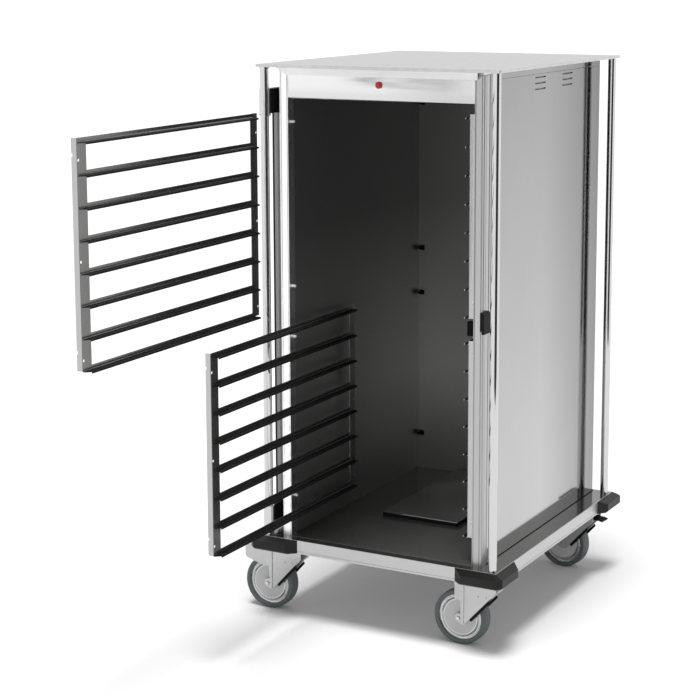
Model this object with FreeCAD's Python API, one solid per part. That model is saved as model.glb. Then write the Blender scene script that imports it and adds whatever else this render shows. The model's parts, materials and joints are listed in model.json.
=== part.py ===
import FreeCAD, Part
import math
import os

# Enclosed cart for meal trays. All sizes are millimetres.
# Working axes while building: +X right, +Y back, +Z up, zero on the floor under the cabinet.
# At the end everything moves so that the origin is the bottom centre of the bounding box.

Vector = FreeCAD.Vector
up = Vector(0, 0, 1)
right = Vector(1, 0, 0)
rearward = Vector(0, 1, 0)

# Gaps between pieces
runningGap = 0.05
bodyGap = 0.3

# Castors and wheels
wheelDiameter = 160.0
tyreWidth = 40.0
tyreHeight = 15.0
discInset = 5.0
coreSides = 48
castorTrail = 68.0
frontCastorTurn = 0.0
rearCastorTurn = 6.0
wheelHeadroom = 24.0
crownSheet = 4.0
raceHeight = 9.0
raceRadius = 24.0
roundSides = 16
castorPlateThickness = 6.0
castorPlateLength = 104.0
castorPlateWidth = 84.0
castorInsetX = 46.0
castorInsetY = 52.0
boltInset = 12.0
boltHeadRadius = 7.5
boltHeadHeight = 5.3
forkSheet = 3.0
forkGap = 5.0
forkBack = 13.0
forkFront = 46.0
forkNose = 20.0
forkFoot = 17.0
ribWidth = 9.0
ribHeight = 2.5
axleRadius = 6.0
hubRadius = 13.0
nutRadius = 8.5
nutHeight = 5.5
cheekReach = 145.0
cheekHeight = 32.0
pedalPin = 4.0
pedalPinDrop = 14.0
pedalSheet = 4.0
frontPedalPivot = -40.0
frontPedalReach = -110.0
rearPedalPivot = 38.0
rearPedalReach = 36.0

# Base platform
platformOverhang = 19.0
railHeight = 40.0
railWidth = 40.0
rimWidth = 3.0
railGroove = 2.0
railGrooveRise = 6.0
deckSheet = 4.0
bumperArm = 125.0
bumperProjection = 25.0
bumperMargin = 1.0
bumperTaper = 28.0
bumperCorner = 14.0
bumperShed = 11.0
bumperBevel = 5.0
bumperEdge = 4.0

# Racks
railCount = 8
rackClearWidth = 536.0
rackLength = 808.0
rackHeight = 565.0
rackSheet = 2.0
rackFlange = 16.0
rackBend = 1.5
frontWeb = 48.0
rearWeb = 36.0
railWebHeight = 15.0
railShelf = 25.0
railLip = 5.0
railLead = 16.0
rackFootRise = 75.0
rackSpacing = 58.0
rackHeadroom = 29.0
rackSideGap = 7.0
rackSetback = 18.0
rackRearGap = 12.0
studRadius = 4.0
studReach = 3.0
studInset = 45.2
hookPlate = 16.0
hookSheet = 3.0
hornOverlap = 6.0
upperFreeRun = 221.0
lowerLeftOut = 473.0

# Cabinet
wallThickness = 27.0
liningSheet = 2.0
backThickness = 12.0
backFrame = 40.0
backRecess = 2.0
rearRound = 6.0
rearOverrun = 5.0
postDepth = 32.0
postReturn = 3.0
postRound = 5.0
postGroove = 1.5
postBevel = 3.0
headerHeight = 66.0
headerHollow = 1.5
headerLip = 3.0
lampRadius = 8.0
lampRim = 2.0
lampDrop = 21.0
lampSides = 16
fasciaHeight = 22.0
fasciaInset = 2.0
topThickness = 8.0
topRound = 4.0
spacerHeight = 8.0
spacerInset = 6.0
ceilingRise = 9.0
trimDrop = 14.0
trimGroove = 2.0
louvreRows = 3
louvreLength = 78.0
louvreHeight = 4.0
louvreDepth = 6.0
louvrePitch = 16.5
louvreDrop = 25.0
louvreSpacing = 204.0
louvreShift = 37.0
coverWidth = 250.0
coverLength = 533.0
coverHeight = 25.0
coverShift = -20.0
coverRearGap = 6.0
coverRidge = 3.0

# Corner tubes and hinge
tubeDiameter = 25.0
tubeStandoff = 39.0
socketWall = 3.0
socketHeight = 5.0
sleeveWall = 3.0
hingeBlockHeight = 70.0
hingeBlockRise = 8.0
collarHeight = 6.0
collarWall = 5.0
blockOverlap = 1.0

# Door
doorThickness = 22.0
doorStile = 30.0
stileRound = 7.0
doorBottomGap = 9.0
doorLap = 25.0
hingeLap = 4.0
latchLap = 15.0
skinInset = 2.0
gasketThickness = 1.5
gasketWidth = 9.0
gasketLap = 4.0
gasketGap = 0.5

# Latch: a turning lever on the outer face drives a sliding bolt at the free edge
latchRise = 35.5
latchCaseLength = 120.0
latchCaseWidth = 40.0
latchCaseDepth = 9.0
latchCaseInset = 3.0
latchCaseRound = 8.0
leverLength = 84.0
leverWidth = 18.0
leverDepth = 8.0
leverHub = 15.0
leverRound = 6.0
boltSize = 12.0
boltTail = 34.0
boltBevel = 7.0
boltEngage = 3.0
keeperHeight = 60.0
keeperDepth = 12.0
keeperWall = 5.0
keeperCorner = 8.0

# Derived sizes across the cart
rackHalfClear = rackClearWidth / 2
postInner = rackHalfClear + rackFlange + rackSideGap
openX = postInner + postReturn
sideX = openX + wallThickness
halfX = sideX + tubeStandoff
deckX = halfX + platformOverhang
swivelX = halfX - castorInsetX

# Derived sizes from front to back
frontSetback = doorThickness / 2 + gasketThickness + gasketGap
liningDepth = rackSetback + rackLength + rackRearGap
cabinetDepth = liningDepth + liningSheet + backThickness
halfY = (cabinetDepth + frontSetback - rearOverrun) / 2
deckY = halfY + platformOverhang
swivelY = halfY - castorInsetY
frontY = -halfY + frontSetback
postBack = frontY + postDepth
rackFront = frontY + rackSetback
innerBackY = frontY + liningDepth
rearY = frontY + cabinetDepth

# Derived levels
wheelRadius = wheelDiameter / 2
crownBottom = wheelDiameter + wheelHeadroom
crownTop = crownBottom + crownSheet
castorHeight = crownTop + raceHeight + castorPlateThickness
pedalPinZ = crownTop - pedalPinDrop
baseBottom = castorHeight
baseTop = baseBottom + railHeight
floorSheetTop = baseTop + liningSheet
lowerRackTop = baseTop + rackFootRise + rackHeight
upperRackTop = lowerRackTop + rackSpacing + rackHeight
ceilingZ = upperRackTop + rackHeadroom + liningSheet
headerBottom = ceilingZ - ceilingRise
headerTop = headerBottom + headerHeight
slabBottom = headerTop + fasciaHeight
slabTop = slabBottom + topThickness
bodyTop = slabBottom - spacerHeight

# Derived sizes of the hinge, the door and the latch
tubeRadius = tubeDiameter / 2
hingeX = -halfX
hingeY = -halfY
doorLeft = -openX - hingeLap
doorRight = openX + latchLap
doorFront = hingeY - doorThickness / 2
doorBack = hingeY + doorThickness / 2
doorBottom = baseTop + doorBottomGap
doorTop = headerBottom + doorLap
lowBlock = doorBottom + hingeBlockRise
highBlock = doorTop - hingeBlockHeight
latchZ = (doorBottom + doorTop) / 2 + latchRise
caseRight = doorRight - latchCaseInset
caseLeft = caseRight - latchCaseWidth
caseFront = doorFront - latchCaseDepth
boltReach = sideX - doorRight + boltEngage

# Derived sizes of the racks and the castors
upperLeftOut = rackLength + upperFreeRun
studHead = rackHalfClear + rackFlange - studReach
coreRadius = wheelRadius - tyreHeight
discHalf = tyreWidth / 2 - discInset
legInner = tyreWidth / 2 + forkGap
legOuter = legInner + forkSheet
axleX = -castorTrail

pieces = {}


def box(x0, x1, y0, y1, z0, z1):
    return Part.makeBox(x1 - x0, y1 - y0, z1 - z0, Vector(x0, y0, z0))


def rod(radius, x, y, z0, z1):
    return Part.makeCylinder(radius, z1 - z0, Vector(x, y, z0), up)


def crossRod(radius, x, y0, y1, z):
    return Part.makeCylinder(radius, y1 - y0, Vector(x, y0, z), rearward)


def ring(outer, inner, x, y, z0, z1):
    return rod(outer, x, y, z0, z1).cut(rod(inner, x, y, z0 - 1, z1 + 1))


def prism(points, direction):
    wire = Part.makePolygon(points + [points[0]])
    return Part.Face(wire).extrude(direction)


def plateXZ(points, y0, y1):
    return prism([Vector(x, y0, z) for x, z in points], Vector(0, y1 - y0, 0))


def polygon(count, centre, radius, first, second):
    # corners of a regular polygon that lies in the plane of the two directions
    corners = []
    for k in range(count):
        angle = 2 * math.pi * k / count
        corners.append(centre + first * (radius * math.cos(angle)) + second * (radius * math.sin(angle)))
    return corners


def stack(rings):
    # solid between closed rings of as many corners each, with a flat cap at both ends
    faces = [Part.Face(Part.makePolygon(r + [r[0]])) for r in (rings[0], rings[-1])]
    for low, high in zip(rings, rings[1:]):
        for k in range(len(low)):
            n = (k + 1) % len(low)
            faces.append(Part.Face(Part.makePolygon([low[k], low[n], high[n], high[k], low[k]])))
    solid = Part.makeSolid(Part.makeShell(faces))
    if solid.Volume < 0:
        solid.reverse()
    return solid


def mirrorX(shape):
    return shape.mirror(Vector(0, 0, 0), right)


def mirrorY(shape):
    return shape.mirror(Vector(0, 0, 0), rearward)


def add(name, *shapes):
    pieces.setdefault(name, []).extend(shapes)


def upright(edge):
    a = edge.Vertexes[0].Point
    b = edge.Vertexes[-1].Point
    return abs(a.x - b.x) < 0.01 and abs(a.y - b.y) < 0.01


def uprightAt(x, y):
    # picks the upright edges at one corner; None leaves that coordinate open
    def test(edge):
        p = edge.Vertexes[0].Point
        nearX = x is None or abs(p.x - x) < 0.01
        nearY = y is None or abs(p.y - y) < 0.01
        return upright(edge) and nearX and nearY

    return test


def roundEdges(shape, radius, test):
    return shape.makeFillet(radius, [e for e in shape.Edges if test(e)])


# Base

def railRing():
    lipX = deckX - rimWidth
    lipY = deckY - rimWidth
    coreX = deckX - railWidth
    coreY = deckY - railWidth
    frame = box(-deckX, deckX, -deckY, deckY, baseBottom, baseTop)
    frame = frame.cut(box(-coreX, coreX, -coreY, coreY, baseBottom - 1, baseTop + 1))
    frame = frame.cut(box(-lipX, lipX, -lipY, lipY, baseTop - deckSheet, baseTop + 1))
    # one long groove in the outer face of the extrusion
    low = baseBottom + railGrooveRise
    high = low + railGroove
    depth = railGroove / 2
    groove = box(-deckX - 1, deckX + 1, -deckY - 1, deckY + 1, low, high)
    inside = box(-deckX + depth, deckX - depth, -deckY + depth, deckY - depth, low - 1, high + 1)
    return frame.cut(groove.cut(inside))


def mitreWedge(side):
    # region of the front or back rail, bounded by 45 degree planes through the corners
    outside = railWidth / 4
    inside = railWidth * 1.5
    z = baseBottom - 1
    points = [
        Vector(-deckX - outside, side * (deckY + outside), z),
        Vector(deckX + outside, side * (deckY + outside), z),
        Vector(deckX - inside, side * (deckY - inside), z),
        Vector(-deckX + inside, side * (deckY - inside), z),
    ]
    return prism(points, Vector(0, 0, railHeight + 2))


def makeBase():
    sides = railRing()
    for side in (-1, 1):
        wedge = mitreWedge(side)
        add("base_rails", sides.common(wedge))
        sides = sides.cut(wedge)
    add("base_rails", *sides.Solids)
    coreX = deckX - railWidth
    coreY = deckY - railWidth
    lipX = deckX - rimWidth
    lipY = deckY - rimWidth
    deckBottom = baseTop - deckSheet
    add("base_core", box(-coreX, coreX, -coreY, coreY, baseBottom, deckBottom))
    add("deck_sheet", box(-lipX, lipX, -lipY, lipY, deckBottom, baseTop))


def bumperRing(projection, z):
    # outline of the rear right bumper where it stands out this far from the platform
    startX = deckX - bumperArm
    startY = deckY - bumperArm
    outX = deckX + projection
    outY = deckY + projection
    taper = bumperTaper * projection / bumperProjection
    corner = bumperCorner * projection / bumperProjection
    return [
        Vector(startX, deckY, z),
        Vector(startX + taper, outY, z),
        Vector(outX - corner, outY, z),
        Vector(outX, outY - corner, z),
        Vector(outX, startY + taper, z),
        Vector(deckX, startY, z),
        Vector(deckX, deckY, z),
    ]


def makeBumpers():
    low = baseBottom + bumperMargin
    high = baseTop - bumperMargin
    rings = [
        bumperRing(bumperProjection - bumperBevel, low),
        bumperRing(bumperProjection, low + bumperBevel),
        bumperRing(bumperProjection, high - bumperShed),
        bumperRing(bumperEdge, high),
    ]
    solid = stack(rings)
    add("corner_bumpers", solid, mirrorX(solid), mirrorY(solid), mirrorX(mirrorY(solid)))


def makeTubes():
    for x, y in ((halfX, -halfY), (-halfX, halfY), (halfX, halfY)):
        add("corner_tubes", rod(tubeRadius, x, y, baseTop, slabBottom))
    # the tube that carries the door turns in a ring at both ends
    add("hinge_tube", rod(tubeRadius, hingeX, hingeY, baseTop + bodyGap, slabBottom - bodyGap))
    for z in (baseTop, slabBottom - socketHeight):
        socket = ring(tubeRadius + socketWall, tubeRadius + runningGap, hingeX, hingeY, z, z + socketHeight)
        add("tube_sockets", socket)


# Cabinet

def notchPoints(x, y, dx, dy):
    # three points of a small V groove whose mouth starts at x, y and runs along dx or dy
    step = postGroove
    start = Vector(x, y, baseTop)
    middle = start + Vector(dx * step, dy * step, 0) + Vector(-abs(dy) * step, abs(dx) * step, 0)
    end = start + Vector(2 * dx * step, 2 * dy * step, 0)
    return [start, middle, end]


def cornerPost():
    corner = sideX - postRound
    section = [Vector(postInner, frontY, baseTop)]
    section += notchPoints(postInner + postGroove, frontY, 1, 0)
    section += notchPoints(corner - 3 * postGroove, frontY, 1, 0)
    section += [Vector(sideX, frontY, baseTop)]
    section += notchPoints(sideX, frontY + 2 * postRound, 0, 1)
    section += [
        Vector(sideX, postBack - postBevel, baseTop),
        Vector(sideX - postBevel, postBack, baseTop),
        Vector(postInner, postBack, baseTop),
    ]
    post = prism(section, Vector(0, 0, bodyTop - baseTop))
    return roundEdges(post, postRound, uprightAt(sideX, frontY))


def sidePanel():
    front = postBack + liningSheet
    inner = openX + liningSheet
    panel = box(inner, sideX, front, rearY, baseTop, bodyTop)
    panel = roundEdges(panel, rearRound, uprightAt(sideX, rearY))
    trimTop = bodyTop - trimDrop
    trim = box(sideX - trimGroove, sideX + 1, front - 1, rearY + 1, trimTop - trimGroove, trimTop)
    panel = panel.cut(trim)
    middle = (front + rearY) / 2 + louvreShift
    for centre in (middle - louvreSpacing / 2, middle + louvreSpacing / 2):
        for row in range(louvreRows):
            z = bodyTop - louvreDrop - row * louvrePitch
            slot = box(
                sideX - louvreDepth, sideX + 1,
                centre - louvreLength / 2, centre + louvreLength / 2,
                z - louvreHeight / 2, z + louvreHeight / 2,
            )
            panel = panel.cut(slot)
    return panel


def backPanel():
    outer = openX + liningSheet
    face = innerBackY + backThickness
    panel = box(-outer, outer, innerBackY + liningSheet, face, baseTop, bodyTop)
    low = baseTop + backFrame
    high = bodyTop - backFrame
    recess = box(-outer + backFrame, outer - backFrame, face - backRecess, face + 1, low, high)
    return panel.cut(recess)


def makeCabinet():
    post = cornerPost()
    add("front_posts", post, mirrorX(post))
    panel = sidePanel()
    add("side_panel_right", panel)
    add("side_panel_left", mirrorX(panel))
    add("back_panel", backPanel())
    add("roof_box", box(-openX, openX, postBack, innerBackY, ceilingZ, bodyTop))


def makeLinings():
    outer = openX + liningSheet
    side = box(openX, outer, postBack, innerBackY, floorSheetTop, ceilingZ)
    add("lining_sides", side, mirrorX(side))
    back = box(-outer, outer, innerBackY, innerBackY + liningSheet, floorSheetTop, ceilingZ)
    add("lining_back", back)
    ceiling = box(-openX, openX, postBack, innerBackY, ceilingZ - liningSheet, ceilingZ)
    add("lining_ceiling", ceiling)
    front = box(-postInner, postInner, frontY + 1, postBack, baseTop, floorSheetTop)
    rear = box(-openX, openX, postBack, innerBackY, baseTop, floorSheetTop)
    add("floor_plate", front.fuse(rear).removeSplitter())


def headerSection():
    x = -postInner + bodyGap
    low = Vector(x, frontY, headerBottom + headerLip)
    top = Vector(x, frontY, headerTop)
    middle = (low + top) * 0.5 + Vector(0, headerHollow, 0)
    corners = [
        top,
        Vector(x, frontY, bodyTop),
        Vector(x, postBack, bodyTop),
        Vector(x, postBack, headerBottom),
        Vector(x, frontY + headerLip, headerBottom),
        low,
    ]
    edges = [Part.Arc(low, middle, top).toShape()]
    for start, end in zip(corners, corners[1:]):
        edges.append(Part.LineSegment(start, end).toShape())
    return Part.Face(Part.Wire(edges))


def lampRing(radius, forward):
    centre = Vector(0, frontY - forward, headerTop - lampDrop)
    return polygon(lampSides, centre, radius, right, up)


def makeHeader():
    header = headerSection().extrude(Vector(2 * (postInner - bodyGap), 0, 0))
    lampZ = headerTop - lampDrop
    header = header.cut(crossRod(lampRadius + bodyGap, 0, frontY - 1, frontY + postDepth / 2, lampZ))
    add("header_panel", header)
    bezel = lampRadius + lampRim
    rings = [
        lampRing(bezel, 0),
        lampRing(bezel, lampRim),
        lampRing(lampRadius, lampRim),
        lampRing(0.85 * lampRadius, lampRim + 0.35 * lampRadius),
        lampRing(0.45 * lampRadius, lampRim + 0.6 * lampRadius),
    ]
    stem = prism(lampRing(lampRadius, 0), Vector(0, postDepth / 4, 0))
    add("signal_lamp", stack(rings).fuse(stem).removeSplitter())


def makeFascia():
    # sloped front moulding with cut ends, from the lid's front edge back to the header
    front = -deckY + fasciaInset
    reach = sideX - postRound - hingeLap
    backEnd = openX + hingeLap
    a = Vector(-reach, front, slabBottom)
    b = Vector(reach, front, slabBottom)
    c = Vector(backEnd, frontY, slabBottom)
    d = Vector(-backEnd, frontY, slabBottom)
    e = Vector(-backEnd, frontY, headerTop)
    f = Vector(backEnd, frontY, headerTop)
    faces = []
    for corners in ([a, b, c, d], [d, c, f, e], [a, b, f, e], [a, d, e], [b, c, f]):
        faces.append(Part.Face(Part.makePolygon(corners + [corners[0]])))
    solid = Part.makeSolid(Part.makeShell(faces))
    if solid.Volume < 0:
        solid.reverse()
    add("front_fascia", solid)


def makeTop():
    slab = box(-deckX, deckX, -deckY, deckY, slabBottom, slabTop)
    slab = roundEdges(slab, topRound, upright)
    add("top_panel", slab)
    x = sideX - spacerInset
    add("top_spacer", box(-x, x, frontY + fasciaInset, rearY - spacerInset, bodyTop, slabBottom))


def makeFloorCover():
    left = coverShift - coverWidth / 2
    back = innerBackY - coverRearGap
    top = floorSheetTop + coverHeight
    cover = box(left, left + coverWidth, back - coverLength, back, floorSheetTop, top)
    ridges = [e for e in cover.Edges if e.BoundBox.ZMin > top - 0.01 and e.BoundBox.YLength > 1]
    add("floor_cover", cover.makeChamfer(coverRidge, ridges))


def studLevels(topZ):
    return topZ - studInset, topZ - rackHeight + studInset


def makeWallFittings():
    # round studs on the posts and square horns on the back wall carry the racks in their notches
    studY = rackFront + rackSheet / 2
    hornFront = rackFront + rackLength - hornOverlap
    plateFront = innerBackY - hookSheet
    half = hookPlate / 2
    for top in (upperRackTop, lowerRackTop):
        for z in studLevels(top):
            start = Vector(-postInner, studY, z)
            stud = prism(polygon(8, start, studRadius, rearward, up), right * (postInner - studHead))
            add("wall_studs", stud, mirrorX(stud))
            plate = box(-studHead - half, -studHead + half, plateFront, innerBackY, z - half, z + half)
            horn = box(
                -studHead - 2 * studRadius, -studHead, hornFront, plateFront, z - studRadius, z + studRadius
            )
            hook = plate.fuse(horn).removeSplitter()
            add("wall_hooks", hook, mirrorX(hook))


# Door, built closed and then folded back against the left side

def foldBack(shape):
    turned = shape.copy()
    turned.rotate(Vector(hingeX, hingeY, 0), up, 90)
    return turned


def stile(xEdge, xInner, z0, z1):
    # rounded outer edge, square where it meets the skins
    shape = box(min(xEdge, xInner), max(xEdge, xInner), doorFront, doorBack, z0, z1)
    return roundEdges(shape, stileRound, uprightAt(xEdge, None))


def hingeBlock(low, high):
    reach = doorLeft + doorStile
    start = hingeX + tubeRadius / 2
    block = box(start, reach, doorFront - blockOverlap, doorBack + blockOverlap, low, high)
    block = roundEdges(block, sleeveWall, uprightAt(start, None))
    block = block.cut(rod(tubeRadius + sleeveWall, hingeX, hingeY, low - 1, high + 1))
    seam = box(doorLeft, doorLeft + 1, doorFront - 2 * blockOverlap, doorFront, low - 1, high + 1)
    return block.cut(seam)


def makeHinges():
    sleeveOuter = tubeRadius + sleeveWall
    for low in (lowBlock, highBlock):
        high = low + hingeBlockHeight
        add("hinge_sleeves", foldBack(ring(sleeveOuter, tubeRadius + runningGap, hingeX, hingeY, low, high)))
        # the collar under the sleeve carries the door
        top = low - bodyGap
        collar = ring(tubeRadius + collarWall, tubeRadius, hingeX, hingeY, top - collarHeight, top)
        add("hinge_collars", collar)
        add("hinge_blocks", foldBack(hingeBlock(low, high)))


def makeDoor():
    left = doorLeft + doorStile
    inner = doorRight - doorStile
    low = doorBottom + doorStile
    high = doorTop - doorStile
    hingeStile = stile(doorLeft, left, lowBlock + hingeBlockHeight, highBlock)
    latchStile = stile(doorRight, inner, doorBottom, doorTop).cut(boltChannel())
    add("door_stiles", foldBack(hingeStile), foldBack(latchStile))
    lowRail = box(left, inner, doorFront, doorBack, doorBottom, low)
    toe = box(doorLeft + hingeLap, left, doorFront, doorBack, doorBottom, lowBlock)
    topRail = box(left, inner, doorFront, doorBack, high, doorTop)
    add("door_rails", foldBack(lowRail.fuse(toe).removeSplitter()), foldBack(topRail))
    leaf = box(left, inner, doorFront + skinInset, doorBack - skinInset, low, high).cut(boltChannel())
    add("door_panel", foldBack(leaf))


def makeGasket():
    # flexible profile in four straight runs on the inner face, just inside the post faces
    left = -openX - gasketLap
    end = openX + gasketLap
    low = doorBottom + gasketLap
    high = headerBottom + gasketWidth
    stop = doorLeft + doorStile + bodyGap
    y0 = doorBack
    y1 = doorBack + gasketThickness
    runs = [
        box(stop, end - gasketWidth, y0, y1, low, low + gasketWidth),
        box(stop, end - gasketWidth, y0, y1, high - gasketWidth, high),
        box(left, left + gasketWidth, y0, y1, lowBlock + hingeBlockHeight, highBlock),
        box(end - gasketWidth, end, y0, y1, low, high),
    ]
    add("door_gasket", *[foldBack(run) for run in runs])


def boltBox(x0, x1, gap):
    half = boltSize / 2 + gap
    return box(x0, x1, hingeY - half, hingeY + half, latchZ - half, latchZ + half)


def boltChannel():
    stroke = boltReach + boltEngage
    return boltBox(doorRight - boltTail - stroke, doorRight + 1, bodyGap)


def makeBolt():
    tip = doorRight + boltReach
    bolt = boltBox(doorRight - boltTail, tip, 0)
    bevel = [
        e for e in bolt.Edges
        if e.BoundBox.XMin > tip - 0.01 and e.BoundBox.YMin > hingeY + 1 and e.BoundBox.ZLength > 1
    ]
    add("latch_bolt", foldBack(bolt.makeChamfer(boltBevel, bevel)))


def makeLever():
    pivot = (caseLeft + caseRight) / 2
    back = caseFront - bodyGap
    front = back - leverDepth
    tip = latchZ - leverLength
    arm = box(pivot - leverWidth / 2, pivot + leverWidth / 2, front, back, tip, latchZ)
    arm = roundEdges(arm, leverRound, lambda e: e.BoundBox.ZMax < tip + 0.01 and e.BoundBox.YLength > 1)
    lever = crossRod(leverHub, pivot, front, back, latchZ).fuse(arm).removeSplitter()
    add("latch_lever", foldBack(lever))


def makeLatch():
    low = latchZ - latchCaseLength / 2
    high = latchZ + latchCaseLength / 2
    case = box(caseLeft, caseRight, caseFront, doorFront, low, high)
    case = roundEdges(case, latchCaseRound, lambda e: abs(e.BoundBox.YLength - latchCaseDepth) < 0.01)
    add("latch_case", foldBack(case))
    makeBolt()
    makeLever()


def makeKeeper():
    # catch for the bolt on the right post, with an open pocket and one cut corner
    low = latchZ - keeperHeight / 2
    high = latchZ + keeperHeight / 2
    outer = sideX + keeperDepth
    front = hingeY - boltSize / 2 - keeperWall + 1
    back = hingeY + boltSize / 2 + keeperWall + frontSetback + keeperCorner
    keeper = box(sideX, outer, front, back, low, high)
    corner = plateXZ(
        [(outer - keeperWall, high + 1), (outer + 1, high + 1), (outer + 1, high - keeperCorner)],
        front - 1, back + 1,
    )
    foot = box(sideX - 1, sideX + keeperWall, front - 1, back + 1, low - 1, low + keeperCorner)
    room = boltSize / 2 + 1
    end = outer - keeperWall + 1
    pocket = box(sideX - 1, end, hingeY - room, hingeY + room, latchZ - room, latchZ + room)
    add("latch_keeper", keeper.cut(corner).cut(foot).cut(pocket))


# Racks, made for the left wall

def rackUpright(yEdge, yFlange, yWeb, low, topZ):
    inner = -rackHalfClear
    outer = inner - rackFlange
    flange = box(outer, inner, min(yEdge, yFlange), max(yEdge, yFlange), low, topZ)
    web = box(inner - rackSheet, inner, min(yEdge, yWeb), max(yEdge, yWeb), low, topZ)
    shape = roundEdges(flange.fuse(web).removeSplitter(), rackBend, uprightAt(inner, yEdge))
    # notches in the outer edge let the flange sit on a stud and pass it
    half = studRadius + runningGap
    for z in studLevels(topZ):
        depth = rackSheet + 1
        notch = box(outer - 1, -studHead + bodyGap, yEdge - depth, yEdge + depth, z - half, z + half)
        shape = shape.cut(notch)
    return shape


def rackRail(y0, y1, shelf):
    inner = -rackHalfClear
    outer = inner + railShelf
    web = box(inner - rackSheet, inner, y0 + frontWeb, y1 - rearWeb, shelf, shelf + railWebHeight)
    plate = box(inner, outer, y0 + 1, y1 - 1, shelf, shelf + rackSheet)
    lip = box(outer - rackSheet, outer, y0 + 1, y1 - 1, shelf - railLip, shelf)
    # the front corner of the shelf is cut away so that a tray slides on
    z = shelf - railLip - 1
    corner = [
        Vector(outer - railLead, y0, z),
        Vector(outer + 1, y0, z),
        Vector(outer + 1, y0 + railLead, z),
    ]
    lead = prism(corner, Vector(0, 0, railLip + rackSheet + 2))
    return web.fuse([plate, lip]).removeSplitter().cut(lead)


def leftRack(topZ, frontShift):
    y0 = rackFront - frontShift
    y1 = y0 + rackLength
    low = topZ - rackHeight
    uprights = [
        rackUpright(y0, y0 + rackSheet, y0 + frontWeb, low, topZ),
        rackUpright(y1, y1 - rackSheet, y1 - rearWeb, low, topZ),
    ]
    pitch = (rackHeight - railWebHeight) / (railCount - 1)
    rails = [rackRail(y0, y1, low + n * pitch) for n in range(railCount)]
    return uprights, rails


def makeRacks():
    for name, top, out in (("upper", upperRackTop, upperLeftOut), ("lower", lowerRackTop, lowerLeftOut)):
        uprights, rails = leftRack(top, out)
        add("rack_" + name + "_left_uprights", *uprights)
        add("rack_" + name + "_left_rails", *rails)
        uprights, rails = leftRack(top, 0)
        add("rack_" + name + "_right_uprights", *[mirrorX(s) for s in uprights])
        add("rack_" + name + "_right_rails", *[mirrorX(s) for s in rails])


# Castors, made round the swivel axis with the wheel trailing to the left

def legOutline():
    back = axleX - forkBack
    return [
        (back, crownTop),
        (back, wheelRadius),
        (axleX - forkBack / 2, wheelRadius - forkFoot / 2),
        (axleX + forkBack, wheelRadius - forkFoot),
        (forkFront - forkSheet, crownBottom - 1.5 * forkNose),
        (forkFront, crownBottom - forkNose),
        (forkFront, crownTop),
    ]


def cheekOutline():
    # brake cheek that reaches back over the wheel
    back = axleX - forkBack + 1
    return [
        (back, crownTop),
        (-cheekReach, crownTop),
        (-cheekReach, crownTop - cheekHeight),
        (-cheekReach + cheekHeight, crownTop - 1.5 * cheekHeight),
        (back, crownTop - 1.75 * cheekHeight),
    ]


def forkLeg(cheek):
    # one pressed side: flat web with a raised rib beside the axle
    leg = plateXZ(legOutline(), legInner, legOuter)
    ribLeft = axleX + ribWidth
    ribFoot = wheelRadius - forkFoot / 2
    rib = box(ribLeft, ribLeft + ribWidth, legOuter - 1, legOuter + ribHeight, ribFoot, crownBottom)
    leg = leg.fuse(rib)
    if cheek:
        leg = leg.fuse(plateXZ(cheekOutline(), legInner, legOuter))
    return leg.removeSplitter()


def spacerTo(end):
    # bush on the axle between the wheel disc and the fork side
    start = Vector(axleX, discHalf + bodyGap, wheelRadius)
    return prism(polygon(roundSides, start, hubRadius, right, up), rearward * (end - start.y))


def castorFork(cheek):
    leg = forkLeg(cheek)
    back = -cheekReach if cheek else axleX - forkBack
    crown = box(back, forkFront, -legInner, legInner, crownBottom, crownTop)
    race = polygon(roundSides, Vector(0, 0, crownTop), raceRadius, right, up.cross(right))
    head = prism(race, up * (raceHeight - bodyGap))
    axle = crossRod(axleRadius, axleX, -legInner, legInner, wheelRadius)
    spacer = spacerTo(legInner)
    return leg.fuse([mirrorY(leg), crown, head, axle, spacer, mirrorY(spacer)]).removeSplitter()


def axleNuts():
    nuts = []
    for side in (-1, 1):
        centre = Vector(axleX, side * legOuter, wheelRadius)
        nuts.append(prism(polygon(6, centre, nutRadius, right, up), rearward * (side * nutHeight)))
    return nuts


def wheelCore(halfWidth):
    # disc with many small flats round its edge, which keep the tyre from creeping
    centre = Vector(axleX, -halfWidth, wheelRadius)
    return prism(polygon(coreSides, centre, coreRadius, right, up), rearward * (2 * halfWidth))


def castorWheel():
    half = tyreWidth / 2
    tyre = crossRod(wheelRadius, axleX, -half, half, wheelRadius).cut(wheelCore(half + 1))
    bore = crossRod(axleRadius + runningGap, axleX, -half, half, wheelRadius)
    return wheelCore(discHalf).cut(bore), tyre


def castorPedal(pivot, reach):
    # foot plate on a cross pin between the fork sides, stepped down at its tip
    half = legInner - forkGap
    side = 1 if reach > 0 else -1
    knee = pivot + reach - side * 3 * pedalSheet
    tip = pivot + reach
    path = [
        (pivot, pedalPinZ + pedalSheet - 1), (knee, pedalPinZ + pedalSheet - 1),
        (tip, pedalPinZ), (tip, pedalPinZ - pedalSheet),
        (knee, pedalPinZ - 1), (pivot, pedalPinZ - 1),
    ]
    end = legInner - bodyGap
    pin = crossRod(pedalPin, pivot, -end, end, pedalPinZ)
    return plateXZ(path, -half, half).fuse(pin).removeSplitter()


def placeCastor(shape, x, y, turn):
    placed = shape.copy()
    placed.rotate(Vector(0, 0, 0), up, -turn)
    placed.translate(Vector(x, y, 0))
    return placed


def castorPlate(x, y):
    low = castorHeight - castorPlateThickness
    halfLength = castorPlateLength / 2
    halfWidth = castorPlateWidth / 2
    return box(x - halfLength, x + halfLength, y - halfWidth, y + halfWidth, low, castorHeight)


def castorBolts(x, y):
    heads = []
    reachX = castorPlateLength / 2 - boltInset
    reachY = castorPlateWidth / 2 - boltInset
    for sx in (-reachX, reachX):
        for sy in (-reachY, reachY):
            centre = Vector(x + sx, y + sy, castorHeight - castorPlateThickness)
            heads.append(prism(polygon(6, centre, boltHeadRadius, rearward, right), up * -boltHeadHeight))
    return heads


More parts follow.
